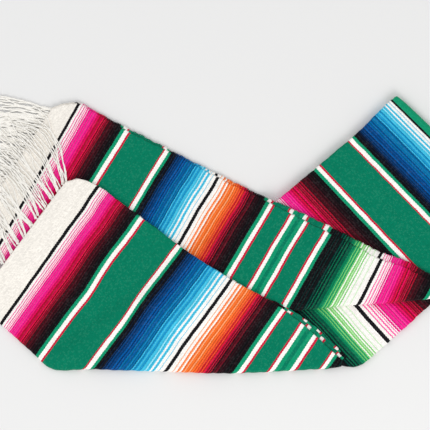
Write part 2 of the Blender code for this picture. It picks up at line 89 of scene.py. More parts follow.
camera = bpy.data.objects.new("camera", bpy.data.cameras.new("camera"))
camera.location = (*SIGHT, CAMERA_HIGH)
camera.data.sensor_width = 36.0
camera.data.lens = 36.0 * (CAMERA_HIGH - STACK_MIDDLE) / SIGHT_WIDE
camera.data.clip_start = 0.5
camera.data.clip_end = 30.0
scene.collection.objects.link(camera)
scene.camera = camera

# ---- the near half's lower run: the bottom of the stack ------------------------------------------
# Weft-faced wool and cotton about 2 mm thick, dyed in bands that fade from dark to white.  The band
# of four layers lies straight on the floor, and a small triangle of it shows beside the V.
CLOTH = 2.0            # millimetres, one layer
INNER_CLOTH = 1.8      # the layers inside, pressed a little thinner
BUNDLE = 9.0           # four layers with the air between them
PLY = 2.25             # from one layer to the next
EASE_IN = 6.0          # the cloth eases down from this far inside an edge below it
EASE_OUT = 36.0        # to this far outside it
EDGE_ROLL = 2.2        # radius of a selvage or of a fold of two layers
TONGUE = 5.0           # a wrapped layer runs on this far underneath
RING_STEPS = 8         # faces round an edge, on the layer that shows
INNER_RING_STEPS = 4
HEM_WAVER = 0.55       # how unevenly a plain edge runs
FOLD_WAVER = 0.25
ORIGIN = np.array([6.0, 2.031, 0.0])   # from the sizes below to the middle of the underside
WRAP_ROOM = 25.0       # what a run gives up at its lower edge, where another goes round it

# A row is one weft line right across the band: its distance along the warp from the fringed end,
# the point where it meets the upper outline and the point where it meets the lower one.
Row = namedtuple("Row", "warp ux uy lx ly")
NEAR_LOWER = [Row(*r) for r in (
    (378, -199, -171, -101, -276),
    (490, -119, -112, 36, -279),
    (627, 1, -25, 229, -270),
    (672, 36, 0, 284, -266),
    (705, 64, 22, 312, -249),
    (748, 99, 47, 347, -219),
    (800, 144, 81, 396, -175),
    (860, 192, 122, 446, -128),
    (972, 280, 193, 526, -50),
    (1074, 350, 262, 598, 20),
    (1090, 357, 267, 606, 27),
)]
FOOT = {}


def rows_at(table, warps):
    """The table's rows at any warp distances, by a smooth curve through every column."""
    data = np.array(table, float)
    along = data[:, 0]
    slope = np.gradient(data, along, axis=0)
    i = np.clip(np.searchsorted(along, warps) - 1, 0, len(along) - 2)
    h = (along[i + 1] - along[i])[:, None]
    f = (np.asarray(warps) - along[i])[:, None] / h
    start = (1 + 2 * f) * (1 - f) ** 2 * data[i] + f * (1 - f) ** 2 * h * slope[i]
    return start + f * f * (3 - 2 * f) * data[i + 1] + f * f * (f - 1) * h * slope[i + 1]


def outline(table):
    rows = rows_at(table, np.linspace(table[0].warp, table[-1].warp, 60))
    return np.concatenate([rows[:, 1:3], rows[::-1, 3:5]])


def distance(points, loop):
    """Signed distance from a closed loop, below zero inside it."""
    out = np.full(len(points), 1e9)
    inside = np.zeros(len(points), bool)
    for a, b in zip(loop, np.roll(loop, -1, 0)):
        ab = b - a
        t = np.clip((points - a) @ ab / max(ab @ ab, 1e-9), 0, 1)
        out = np.minimum(out, np.linalg.norm(points - a - t[:, None] * ab, axis=1))
        crosses = (a[1] <= points[:, 1]) != (b[1] <= points[:, 1])
        side = a[0] + (points[:, 1] - a[1]) / (ab[1] or 1.0) * ab[0]
        inside ^= crosses & (points[:, 0] < side)
    return np.where(inside, -out, out)


def present(points, name):
    f = np.clip((EASE_OUT - distance(points, FOOT[name])) / (EASE_OUT + EASE_IN), 0, 1)
    return f * f * (3 - 2 * f)


def height(points, below):
    """Top surface of a run that lies on the runs named."""
    points = np.asarray(points, float).reshape(-1, 2)
    return BUNDLE * (np.ones(len(points)) + sum(present(points, name) for name in below))


def drawn_in(table, until):
    """The table with its lower outline pulled in where another run wraps round it."""
    out = []
    for r in table:
        share = WRAP_ROOM / math.hypot(r.ux - r.lx, r.uy - r.ly) if r.warp < until else 0.0
        out.append(Row(r.warp, r.ux, r.uy, r.lx + (r.ux - r.lx) * share, r.ly + (r.uy - r.ly) * share))
    return out


def line_normal(line, away):
    """Unit normals of an open line, on the side away from another line."""
    step = np.gradient(line, axis=0)
    n = np.stack([-step[:, 1], step[:, 0]], 1)
    n /= np.maximum(np.linalg.norm(n, axis=1), 1e-9)[:, None]
    return n * np.sign(((line - away) * n).sum(1).mean())


# A side's kind is wrap, the outermost layer going right round a fold of the whole run; turn, two
# layers folded; or hem, a plain edge.  Reach is how far it stands out past the table's outline.
Side = namedtuple("Side", "kind reach")
# A crease is a soft trough (or a ridge, where deep is below zero) with its own middle and size.
Crease = namedtuple("Crease", "warp weft lean long wide deep")
# A sway moves the stripes along the warp round one place, as a pull on the cloth does.
Sway = namedtuple("Sway", "warp weft long wide shift")


def cloth(name, table, sides, below, rows, across,
          layer=0, seat=False, creases=(), sways=(), slip=((0, 0),), seed=1):
    """One layer of a run as a closed wall with rolled edges.

    Returns the object, its cut, its area and its upper edge."""
    wave = np.random.default_rng(seed)
    thick = CLOTH if layer == 0 else INNER_CLOTH
    drop = layer * PLY
    upper, lower, first, last = (sides[k] for k in ("upper", "lower", "first", "last"))
    at = np.linspace(table[0].warp, table[-1].warp, rows)
    data = rows_at(table, at)
    u_line, l_line = data[:, 1:3].copy(), data[:, 3:5].copy()
    phases = wave.uniform(0, 6.28, 8)
    for line, other, side, k in ((u_line, data[:, 3:5], upper, 0), (l_line, data[:, 1:3], lower, 4)):
        out = np.interp(at, [p[0] for p in side.reach], [p[1] for p in side.reach])
        rough = HEM_WAVER if side.kind == "hem" else FOLD_WAVER
        out = out + rough * (np.sin(at / 2.9 + phases[k]) + np.sin(at / 7.3 + phases[k + 1]))
        out = out + rough * 0.9 * np.sin(at / 31.0 + phases[k + 2])
        line += line_normal(line, other) * out[:, None]

    def radius_at(points, normal, side):
        r = np.full(len(points), EDGE_ROLL)
        if side.kind != "wrap":
            return r
        for _ in range(6):
            inner = points - normal * r[:, None]
            low = BUNDLE * present(inner, "near_lower") + 0.3 if seat else 0.0
            r = (height(inner, below) - drop - low) / 2
        return r

    ends = [EDGE_ROLL, EDGE_ROLL]
    for e, side, row in ((0, first, 0), (1, last, -1)):
        if side.kind == "wrap":
            mid = (u_line[row] + l_line[row]) / 2
            ends[e] = float(height([mid], below)[0] / 2)
    weft = l_line - u_line
    wide = np.linalg.norm(weft, axis=1)
    weft /= wide[:, None]
    u_n = line_normal(u_line, l_line)
    l_n = line_normal(l_line, u_line)
    u_r = radius_at(u_line, u_n, upper)
    l_r = radius_at(l_line, l_n, lower)
    u_in = u_r / np.maximum(np.abs((weft * u_n).sum(1)), 0.35)
    l_in = l_r / np.maximum(np.abs((weft * l_n).sum(1)), 0.35)
    crowd = np.minimum(1.0, 0.9 * wide / (u_in + l_in))
    u_in *= crowd
    l_in *= crowd
    reach = [side.reach[0][1] for side in (first, last)]
    inner_at = np.linspace(at[0] + ends[0] - reach[0], at[-1] - ends[1] + reach[1], rows)

    def along(values):
        step = at[1] - at[0]
        f = (inner_at - at[0]) / step
        i = np.clip(f.astype(int), 0, rows - 2)
        f = f - i
        if values.ndim == 2:
            f = f[:, None]
        return values[i] * (1 - f) + values[i + 1] * f

    a_line = along(u_line + weft * u_in[:, None])
    b_line = along(l_line - weft * l_in[:, None])
    from_edge = along(u_in)
    t = np.linspace(0, 1, across)
    plan = a_line[:, None] * (1 - t[:, None]) + b_line[:, None] * t[:, None]
    span = np.linalg.norm(b_line - a_line, axis=1)
    u = from_edge[:, None] + span[:, None] * t
    v = np.repeat(inner_at[:, None], across, 1)
    top = height(plan, below).reshape(rows, across) - drop
    for c in creases:
        lean = math.radians(c.lean)
        p = (v - c.warp) * math.cos(lean) + (u - c.weft) * math.sin(lean)
        q = -(v - c.warp) * math.sin(lean) + (u - c.weft) * math.cos(lean)
        q = q - 0.06 * c.long * np.sin(p / c.long * 2.2)
        top = top - c.deep * np.exp(-(p / c.long) ** 4) * np.exp(-(q / c.wide) ** 2)
    shade = v + np.interp(v, [p[0] for p in slip], [p[1] for p in slip])
    for s in sways:
        shade += s.shift * np.exp(-((v - s.warp) / s.long) ** 2 - ((u - s.weft) / s.wide) ** 2)

    index = [(i, 0) for i in range(rows - 1)] + [(rows - 1, j) for j in range(across - 1)]
    index += [(i, across - 1) for i in range(rows - 1, 0, -1)] + [(0, j) for j in range(across - 1, 0, -1)]
    ii, jj = np.array(index).T
    loop = plan[ii, jj]
    step = np.roll(loop, -1, 0) - np.roll(loop, 1, 0)
    normal = np.stack([step[:, 1], -step[:, 0]], 1)
    area = (loop[:, 0] * np.roll(loop[:, 1], -1) - loop[:, 1] * np.roll(loop[:, 0], -1)).sum()
    normal *= 1 if area > 0 else -1
    normal /= np.maximum(np.linalg.norm(normal, axis=1), 1e-9)[:, None]
    counts = [rows - 1, across - 1, rows - 1, across - 1]
    which = np.repeat([0, 1, 2, 3], counts)
    order = [upper, last, lower, first]
    l_rows = along(l_r * crowd)
    u_rows = along(u_r * crowd)
    radius = np.select([which == 0, which == 2, which == 1], [u_rows[ii], l_rows[ii], ends[1]], ends[0])
    turn = np.array([math.pi / 2 if order[w].kind == "hem" else math.pi for w in which])
    tuck = np.array([{"wrap": TONGUE, "turn": 0.6, "hem": 0.0}[order[w].kind] for w in which])

    def eased(values, reach=3):
        for _ in range(3):
            values = sum(np.roll(values, k, 0) for k in range(-reach, reach + 1)) / (2 * reach + 1)
        return values

    radius, turn, tuck = eased(radius), eased(turn), eased(tuck)
    softened = eased(normal, 2)
    softened /= np.maximum(np.linalg.norm(softened, axis=1), 1e-9)[:, None]
    normal = softened
    edge_top = top[ii, jj]

    # how far the weave's own coordinates run on as the edge rolls over
    pi, pj = np.gradient(plan, axis=0)[ii, jj], np.gradient(plan, axis=1)[ii, jj]
    det = pi[:, 0] * pj[:, 1] - pi[:, 1] * pj[:, 0]
    alpha = (normal[:, 0] * pj[:, 1] - normal[:, 1] * pj[:, 0]) / det
    beta = (pi[:, 0] * normal[:, 1] - pi[:, 1] * normal[:, 0]) / det
    run_u = alpha * np.gradient(u, axis=0)[ii, jj] + beta * np.gradient(u, axis=1)[ii, jj]
    run_v = alpha * np.gradient(shade, axis=0)[ii, jj] + beta * np.gradient(shade, axis=1)[ii, jj]
    run = np.stack([run_u, run_v], 1)
    run /= np.maximum(np.linalg.norm(run, axis=1), 1.0)[:, None]
    base_uv = np.stack([u[ii, jj], shade[ii, jj]], 1)

    flat_uv = np.stack([u, shade], 2).reshape(-1, 2)
    points = [np.dstack([plan, top]).reshape(-1, 3), np.dstack([plan, top - thick]).reshape(-1, 3)]
    weave = [flat_uv, flat_uv]
    count = rows * across
    number = np.arange(count).reshape(rows, across)
    quads = [np.stack([number[:-1, :-1], number[1:, :-1], number[1:, 1:], number[:-1, 1:]], 2).reshape(-1, 4)]
    quads.append(quads[0][:, ::-1] + count)
    total = 2 * count
    ring_out, ring_in = number[ii, jj], number[ii, jj] + count
    thin = np.maximum(radius - 0.9 * thick, 0.3)

    def add_ring(xy, z, uv, before, flip):
        nonlocal total
        points.append(np.column_stack([xy, z]))
        weave.append(uv)
        ring = total + np.arange(len(xy))
        total += len(xy)
        pair = (before, ring) if not flip else (ring, before)
        quads.append(np.stack([pair[1], np.roll(pair[1], -1), np.roll(pair[0], -1), pair[0]], 1))
        return ring

    steps = RING_STEPS if layer == 0 else INNER_RING_STEPS
    for k in range(1, steps + 1):
        a = turn * k / steps
        uv = base_uv + run * (radius * a)[:, None]
        ring_out = add_ring(loop + normal * (radius * np.sin(a))[:, None],
                            edge_top - radius * (1 - np.cos(a)), uv, ring_out, False)
        ring_in = add_ring(loop + normal * (thin * np.sin(a))[:, None],
                           edge_top - radius + thin * np.cos(a) - 0.1 * thick, uv, ring_in, True)
    share = np.clip((turn - math.pi / 2) / (math.pi / 2), 0, 1)
    reach_out = radius * np.sin(turn) - tuck * share
    reach_in = thin * np.sin(turn) - tuck * share
    uv = base_uv + run * (radius * turn + tuck)[:, None]
    ring_out = add_ring(loop + normal * (reach_out - 0.02)[:, None],
                        edge_top - radius * (1 - np.cos(turn)) - 0.05 * (1 - share), uv, ring_out, False)
    inner_low = edge_top - radius + thin * np.cos(turn) - 0.1 * thick - 0.05 * (1 - share)
    ring_in = add_ring(loop + normal * (reach_in + 0.02)[:, None], inner_low, uv, ring_in, True)
    quads.append(np.stack([ring_in, np.roll(ring_in, -1), np.roll(ring_out, -1), ring_out], 1))

    points = (np.concatenate(points) + ORIGIN) * 0.001
    points[:, 2] = np.maximum(points[:, 2], 0.0)
    weave = np.concatenate(weave) * 0.001
    quads = np.concatenate(quads)
    p = points[quads]
    signed = np.einsum("ij,ij->i", p[:, 0], np.cross(p[:, 1], p[:, 2])).sum()
    signed += np.einsum("ij,ij->i", p[:, 0], np.cross(p[:, 2], p[:, 3])).sum()
    if signed < 0:
        quads = quads[:, ::-1]
    mesh = bpy.data.meshes.new(name)
    mesh.from_pydata(points.tolist(), [], quads.tolist())
    uv_map = mesh.uv_layers.new(name="weave")
    corner = np.empty(len(mesh.loops), np.int32)
    mesh.loops.foreach_get("vertex_index", corner)
    uv_map.data.foreach_set("uv", weave[corner].astype(np.float32).ravel())
    mesh.polygons.foreach_set("use_smooth", np.ones(len(mesh.polygons), bool))
    obj = bpy.data.objects.new(name, mesh)
    scene.collection.objects.link(obj)
    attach(obj, "root")
    cut = (float(wide.max()) * 0.001, float(at[-1] - at[0]) * 0.001)
    area_cut = float(((wide[1:] + wide[:-1]) / 2 * np.diff(at)).sum()) * 1e-6
    on = which == 0
    place = np.column_stack([loop + normal * (radius - 0.3)[:, None], edge_top - 0.8 * thick])[on]
    selvage = ((place + ORIGIN) * 0.001, normal[on], base_uv[on] * 0.001)
    return obj, cut, area_cut, selvage


# The dyes, as they look in daylight, and the order they are woven in.  Each entry is the distance
# in millimetres from the band's start where that dye begins.
DYES = {
    "cream": (244, 239, 231), "white": (250, 247, 243), "black": (19, 19, 23),
    "pink": (252, 92, 168), "lilac": (246, 214, 232), "hot": (255, 32, 148), "rose": (240, 20, 110),
    "magenta": (232, 6, 92), "crimson": (222, 16, 66), "ruby": (176, 18, 48), "wine": (104, 16, 34),
    "maroon": (62, 15, 26), "soot": (36, 17, 24), "deep": (0, 122, 92), "bright": (14, 150, 108),
    "red": (203, 22, 60), "ink": (6, 26, 54), "navy": (2, 64, 124), "blue": (0, 88, 162),
    "teal": (0, 112, 172), "sky": (24, 152, 208), "cyan": (66, 194, 230), "ice": (152, 224, 242),
    "orange": (255, 118, 46), "peach": (255, 178, 132), "ember": (246, 82, 46), "flame": (226, 44, 46),
    "pine": (2, 44, 42), "moss": (0, 84, 66), "leaf": (0, 130, 88), "fern": (24, 158, 102),
    "lime": (132, 212, 118), "mint": (200, 234, 190),
}
PINK = ("0 white, 4.5 pink, 6.5 white, 9.5 pink, 11.8 white, 13.8 pink, 15.4 white, 16.8 hot, "
        "19.4 lilac, 20.6 hot, 25 pink, 26.4 hot, 31 pink, 32.4 hot, 38 rose, 42 magenta, 45 crimson, "
        "47 ruby, 49.5 magenta, 51.5 crimson, 54.5 wine, 56.5 crimson, 58.5 wine, 60 crimson, "
        "61.5 wine, 64 ruby, 66 maroon, 70 wine, 72 maroon, 78 soot, 86 black")
GREEN_SOLID = "0 bright, 7 white, 15 red, 19 deep, 95 red, 98 white, 106 bright"
BLUE = ("0 black, 6 ink, 7.5 black, 10 ink, 11.5 black, 13 navy, 14 ink, 15.5 navy, 24 blue, 29 navy, "
        "30.5 blue, 36 teal, 41 blue, 43 teal, 47.5 sky, 49 teal, 55.5 cyan, 57 sky, 62 cyan, 65 sky, "
        "69 cyan, 75 ice, 77 cyan, 82 white, 85 cyan, 89 ice, 90.5 white, 95.5 cyan, 97 white, 104 ice")
ORANGE = ("0 white, 7 peach, 8.5 white, 13.5 orange, 16 peach, 18 white, 21 orange, 25 peach, "
          "27 orange, 34 peach, 35.5 orange, 40 ember, 42 orange, 44 ember, 47 orange, 48.5 flame, "
          "53 ember, 54.5 flame, 58 crimson, 62 wine, 64 crimson, 66 maroon, 68 ruby, 70 maroon, "
          "74 wine, 80 soot, 84 maroon, 86 soot, 92 black, 98 soot, 100 black")
GREEN_STRIPES = ("0 bright, 7.5 white, 15 red, 19 deep, 52.5 red, 56 white, 63 bright, 70 deep, "
                 "77 bright, 85 white, 92.5 red, 96.5 deep, 130 red, 133.5 white, 141.5 bright")
LIME_FADE = ("0 black, 10 pine, 11.5 black, 16 pine, 18 black, 23 pine, 26 moss, 27.5 pine, 31 leaf, "
             "32.5 pine, 36.5 leaf, 39 pine, 42 leaf, 44 moss, 47 leaf, 52 fern, 56 lime, 57.5 fern, "
             "61 lime, 63 fern, 66 lime, 68.5 white, 70.5 lime, 74 mint, 75.5 lime, 78 white, "
             "80.5 lime, 83 white, 88 mint, 90 white, 98 mint, 100 white")
Band = namedtuple("Band", "start end stretch dyes")
RIDGE = 4.9            # in the fading bands the weft is beaten up in low ridges this far apart
CHART = [Band(*b) for b in (
    (0, 66.5, 1.0, "0 cream, 60 black"), (66.5, 162, 1.0, PINK), (162, 274, 1.0, GREEN_SOLID),
    (274, 378, 1.0, BLUE), (378, 490, 1.0, "0 black, 6.5 white"), (384.5, 490, 1.0, ORANGE),
    (490, 638, 1.0, GREEN_STRIPES), (638, 748, 1.0, LIME_FADE), (748, 755, 1.0, "0 black"),
    (755, 860, 1.1, PINK), (860, 972, 1.0, GREEN_SOLID), (972, 1074, 0.98, BLUE),
    (1074, 1104, 1.0, "0 black, 7 bright"),
)]
HALF = 1103.0          # from a fringed end to the middle, where the order of the dyes turns back
RIB = 2.7              # one warp cord with the weft packed over it
PICK = 1.35            # one pass of the weft
BEAD = 0.5             # how far a dye's edge steps from one warp cord to the next
STRAY = 2.2            # how far a dye's edge wanders along the warp
GROOVE_SHADE = 0.80     # painted shade: how much darker the colour is painted between two ridges, on a dark dye
PALE_GROOVE_SHADE = 0.08     # the share of that painted shade which a pale dye keeps


def linear(dye):
    return tuple((c / 255 / 12.92) if c <= 10 else ((c / 255 + 0.055) / 1.055) ** 2.4 for c in DYES[dye])


def add(tree, kind, *values, **settings):
    """A node with its settings made and its inputs, in order, set or joined."""
    made = tree.nodes.new(kind)
    for key, value in settings.items():
        setattr(made, key, value)
    for socket, value in zip(made.inputs, values):
        if isinstance(value, bpy.types.NodeSocket):
            tree.links.new(value, socket)
        elif value is not None:
            socket.default_value = value
    return made


def sums(tree, how, *values):
    return add(tree, "ShaderNodeMath", *values, operation=how).outputs[0]


def woven(name, tint=1.0):
    """Weft-faced cloth: dye bands along the warp, beaded edges, flecks, ribs of cord and pick, and painted
    shade.
    """
    made = bpy.data.materials.new(name)
    made.use_nodes = True
    tree = made.node_tree
    shader = tree.nodes["Principled BSDF"]
    where = add(tree, "ShaderNodeAttribute", attribute_name="weave").outputs["Vector"]
    split = add(tree, "ShaderNodeSeparateXYZ", where)
    u = sums(tree, "MULTIPLY", split.outputs[0], 1000.0)
    v = sums(tree, "MULTIPLY", split.outputs[1], 1000.0)
    folded = sums(tree, "SUBTRACT", HALF, sums(tree, "ABSOLUTE", sums(tree, "SUBTRACT", HALF, v)))
    cord = sums(tree, "DIVIDE", u, RIB)
    odd = sums(tree, "PINGPONG", sums(tree, "FLOOR", cord), 1.0)
    hill = sums(tree, "ABSOLUTE", sums(tree, "SINE", sums(tree, "MULTIPLY", cord, math.pi)))
    pick = sums(tree, "DIVIDE", v, PICK)
    beat = sums(tree, "SINE", sums(tree, "ADD", sums(tree, "MULTIPLY", pick, 2 * math.pi),
                                   sums(tree, "MULTIPLY", odd, math.pi)))
    grid = add(tree, "ShaderNodeCombineXYZ", u, v).outputs[0]
    drift = add(tree, "ShaderNodeTexNoise", grid, noise_dimensions="3D")
    drift.inputs["Scale"].default_value = 0.045
    drift.inputs["Detail"].default_value = 3.0
    bead = sums(tree, "MULTIPLY", sums(tree, "SUBTRACT", odd, 0.5), BEAD)
    wander = sums(tree, "MULTIPLY", sums(tree, "SUBTRACT", drift.outputs[0], 0.5), STRAY)
    warp = sums(tree, "ADD", folded, sums(tree, "ADD", bead, wander))
    colour = None
    ridged = 0.0
    for band in CHART:
        stops = [s.split() for s in band.dyes.split(", ")]
        place = sums(tree, "DIVIDE", sums(tree, "SUBTRACT", warp, band.start), band.end - band.start)
        ramp = add(tree, "ShaderNodeValToRGB", place)
        ramp.color_ramp.interpolation = "CONSTANT"
        bits = ramp.color_ramp.elements
        bits.remove(bits[1])
        for k, (offset, dye) in enumerate(stops):
            position = float(offset) * band.stretch / (band.end - band.start)
            if position >= 1:
                continue
            bit = bits[0] if k == 0 else bits.new(position)
            bit.color = (*linear(dye), 1)
        if colour is None:
            colour = ramp.outputs[0]
        else:
            begun = sums(tree, "GREATER_THAN", warp, band.start)
            mix = add(tree, "ShaderNodeMix", data_type="RGBA")
            tree.links.new(begun, mix.inputs[0])
            tree.links.new(colour, mix.inputs[6])
            tree.links.new(ramp.outputs[0], mix.inputs[7])
            colour = mix.outputs[2]
            fades = 1.0 if band.dyes in (PINK, BLUE, ORANGE, LIME_FADE) else 0.0
            ridged = sums(tree, "MULTIPLY_ADD", begun, sums(tree, "SUBTRACT", fades, ridged), ridged)
    # yarn by yarn differences, along the weft
    drawn = add(tree, "ShaderNodeCombineXYZ",
                sums(tree, "MULTIPLY", u, 0.02), sums(tree, "MULTIPLY", v, 0.62))
    yarn = add(tree, "ShaderNodeTexNoise", drawn.outputs[0])
    yarn.inputs["Scale"].default_value = 1.0
    yarn.inputs["Detail"].default_value = 2.0
    cell = add(tree, "ShaderNodeCombineXYZ", sums(tree, "FLOOR", sums(tree, "DIVIDE", u, RIB)),
               sums(tree, "FLOOR", sums(tree, "DIVIDE", v, 2 * PICK))).outputs[0]
    fleck = add(tree, "ShaderNodeTexWhiteNoise", cell).outputs["Value"]
    tone = sums(tree, "ADD", 0.75, sums(tree, "MULTIPLY", yarn.outputs[0], 0.30))
    tone = sums(tree, "ADD", tone, sums(tree, "MULTIPLY", fleck, 0.16))
    # Painted shade: the colour is painted lighter on each warp cord's crest and darker between the cords.
    tone = sums(tree, "MULTIPLY", tone, sums(tree, "ADD", 0.82, sums(tree, "MULTIPLY", hill, 0.20)))
    toned = add(tree, "ShaderNodeVectorMath", colour, operation="SCALE")
    # Painted shade: the colour is painted darker in the grooves between the weft ridges of the fading bands,
    # most on dark dyes; the same grooves are also cut into the bump below.
    swell = sums(tree, "COSINE", sums(tree, "MULTIPLY", warp, math.pi / RIDGE))
    groove = sums(tree, "POWER", sums(tree, "ABSOLUTE", swell), 3.0)
    groove = sums(tree, "MULTIPLY", groove, ridged)
    pale = add(tree, "ShaderNodeRGBToBW", colour).outputs[0]
    depth_of_dye = sums(tree, "SUBTRACT", 1.0, sums(tree, "MULTIPLY", pale, 1.6))
    groove = sums(tree, "MULTIPLY", groove, sums(tree, "MAXIMUM", depth_of_dye, PALE_GROOVE_SHADE))
    shade = sums(tree, "SUBTRACT", 1.10, sums(tree, "MULTIPLY", groove, GROOVE_SHADE))
    tone = sums(tree, "MULTIPLY", tone, shade)
    # tint scales the whole colour; below one it paints shade over the whole layer
    tree.links.new(sums(tree, "MULTIPLY", tone, tint), toned.inputs["Scale"])
    bright_fleck = sums(tree, "MULTIPLY", sums(tree, "GREATER_THAN", fleck, 0.80), 0.009)
    lit = add(tree, "ShaderNodeVectorMath", toned.outputs[0], operation="ADD")
    tree.links.new(bright_fleck, lit.inputs[1])
    tree.links.new(lit.outputs[0], shader.inputs["Base Color"])
    relief = sums(tree, "ADD", sums(tree, "MULTIPLY", hill, 0.6),
                  sums(tree, "MULTIPLY", sums(tree, "MULTIPLY", beat, hill), 0.3))
    fuzz = add(tree, "ShaderNodeTexNoise", grid)
    fuzz.inputs["Scale"].default_value = 0.9
    fuzz.inputs["Detail"].default_value = 4.0
    relief = sums(tree, "ADD", relief, sums(tree, "MULTIPLY", fuzz.outputs[0], 0.5))
    relief = sums(tree, "SUBTRACT", relief, sums(tree, "MULTIPLY", groove, 0.9))
    bump = add(tree, "ShaderNodeBump")
    bump.inputs["Strength"].default_value = 0.55
    bump.inputs["Distance"].default_value = 0.0007
    tree.links.new(relief, bump.inputs["Height"])
    tree.links.new(bump.outputs[0], shader.inputs["Normal"])
    shader.inputs["Roughness"].default_value = 0.93
    shader.inputs["Specular IOR Level"].default_value = 0.08
    shader.inputs["Sheen Weight"].default_value = 0.05
    shader.inputs["Sheen Roughness"].default_value = 0.5
    return made


def finish_sheet(made, node, material):
    """Gives one layer its cloth and hides the solid from the model that it stands for."""
    obj, cut, area, _ = made
    obj.data.materials.append(material)
    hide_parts(node)


wool = woven("striped wool")
# The inner layers get the same wool painted 10% darker: painted shade between the layers of the stack.
shaded_inner_wool = woven("striped wool, inner layers", tint=0.9)
NEAR_TIP = 640.0
near_lower_cut = drawn_in(NEAR_LOWER, NEAR_TIP)
flat_edge = ((0, 0),)
LOWER_SIDES = {"upper": Side("turn", flat_edge), "lower": Side("hem", flat_edge),
               "first": Side("turn", ((0, -6),)), "last": Side("turn", ((0, -10),))}
near_lower_top = cloth("near_lower_cloth", near_lower_cut, LOWER_SIDES, (), 285, 64, seed=11,
                       sways=(Sway(720, 250, 60, 50, -2.5), Sway(690, 160, 40, 60, 1.5)))
finish_sheet(near_lower_top, "near_lower_run", wool)
for layer, out, back in ((1, -0.6, -11), (2, 0.5, -13), (3, -0.2, -10)):
    sides = {"upper": Side("hem", ((0, -2 - layer),)), "lower": Side("hem", ((0, out),)),
             "first": Side("hem", ((0, -7),)), "last": Side("hem", ((0, back),))}
    ply = cloth(f"near_lower_ply_{layer + 1}", near_lower_cut, sides, (), 120, 16,
                layer=layer, seed=20 + layer)
    finish_sheet(ply, "hidden_layers", shaded_inner_wool)
FOOT["near_lower"] = outline(
    [Row(250, -295, -241, -264, -270), Row(274, -279, -229, -241, -271)] + NEAR_LOWER[:-1]
    + [Row(1103, 362, 271, 612, 33)])

# ---- the far half's lower run: up out of the V to the fold across the middle ----------------------
# The same band of four layers, lying on the near half's.  At its outer end both halves go round
# one fold, the top layer outermost.
FAR_LOWER = [Row(*r) for r in (
    (490, -89, -115, -36, -171),
    (638, 21, -22, 146, -155),
    (748, 105, 48, 284, -142),
    (800, 142, 80, 348, -139),
    (860, 194, 124, 434, -132),
    (885, 213, 140, 464, -125),
    (920, 240, 163, 490, -92),
    (972, 280, 196, 525, -54),
    (1074, 353, 267, 602, 21),
    (1103, 365, 275, 614, 36),
)]
FAR_TIP = 905.0
far_lower_cut = drawn_in(FAR_LOWER, FAR_TIP)
FAR_LOWER_SLIP = ((490, -10), (770, -12), (800, -10), (860, -7), (940, 0))
FAR_LOWER_SIDES = {"upper": Side("wrap", flat_edge), "lower": Side("turn", flat_edge),
                   "first": Side("turn", ((0, -4),)), "last": Side("wrap", flat_edge)}
far_lower_top = cloth("far_lower_cloth", far_lower_cut, FAR_LOWER_SIDES, ("near_lower",), 250, 66,
                      seat=True, slip=FAR_LOWER_SLIP, seed=12)
finish_sheet(far_lower_top, "far_lower_run", wool)
for layer, out in ((1, -3.5), (2, 0.4), (3, -0.6)):
    sides = {"upper": Side("hem", ((0, -4.5 - layer),)), "lower": Side("hem", ((0, out),)),
             "first": Side("hem", ((0, -6),)), "last": Side("hem", ((0, -9 - 2 * layer),))}
    ply = cloth(f"far_lower_ply_{layer + 1}", far_lower_cut, sides, ("near_lower",), 120, 16,
                layer=layer, seed=30 + layer)
    finish_sheet(ply, "hidden_layers", shaded_inner_wool)
FOOT["far_lower"] = outline([Row(430, -121, -142, -100, -177)] + FAR_LOWER)

# ---- the far half's upper run: from its fringed end to the V --------------------------------------
# Its top edge is a selvage with the weft's small turns standing out, and the second layer's selvage
# shows past it.  Its lower edge goes round the V.
FAR_UPPER = [Row(*r) for r in (
    (0, -324, 252, -498, -12),
    (25, -302, 258, -474, -28),
    (60, -274, 260, -446, -44),
    (110, -230, 237, -408, -65),
    (162, -184, 212, -369, -85),
    (274, -86, 162, -268, -137),
    (378, 5, 115, -172, -187),
    (400, 24, 105, -142, -180),
    (490, 104, 65, -36, -171),
    (553, 161, 37, 42, -164),
    (638, 235, -1, 146, -155),
    (690, 281, -24, 211, -149),
    (748, 331, -50, 284, -142),
    (800, 380, -66, 348, -139),
    (860, 437, -99, 418, -132),
    (872, 446, -106, 432, -132),
)]
ON_FAR = ("near_lower", "far_lower")
FAR_UPPER_SIDES = {"upper": Side("hem", flat_edge), "lower": Side("wrap", flat_edge),
                   "first": Side("turn", flat_edge), "last": Side("hem", flat_edge)}
FAR_CREASES = [Crease(*c) for c in (
    (205, 60, 70, 60, 9, 0.5), (330, 120, 95, 80, 12, 0.6), (560, 60, 100, 50, 8, 0.4),
    (700, 40, 80, 40, 9, 0.5), (100, 110, 20, 50, 10, 0.5), (240, 200, 60, 70, 12, 0.6),
)]
FAR_SWAYS = [Sway(*s) for s in ((330, 70, 70, 40, 2.0), (430, 30, 60, 30, -2.0), (590, 60, 60, 40, 1.5))]
far_upper_top = cloth("far_upper_cloth", FAR_UPPER, FAR_UPPER_SIDES, ON_FAR, 340, 70, seat=True,
                      creases=FAR_CREASES, sways=FAR_SWAYS, seed=13)
finish_sheet(far_upper_top, "far_upper_run", wool)
SECOND_SELVAGE = ((0, 0), (64, 3), (110, 4), (274, 4), (378, 5), (470, 6), (520, 9), (638, 12), (760, 13),
                  (850, 11), (872, 4))
THIRD_FOLD = ((0, -1), (400, 1), (640, 3), (872, -1))
FOURTH_EDGE = ((0, -3), (872, -3))
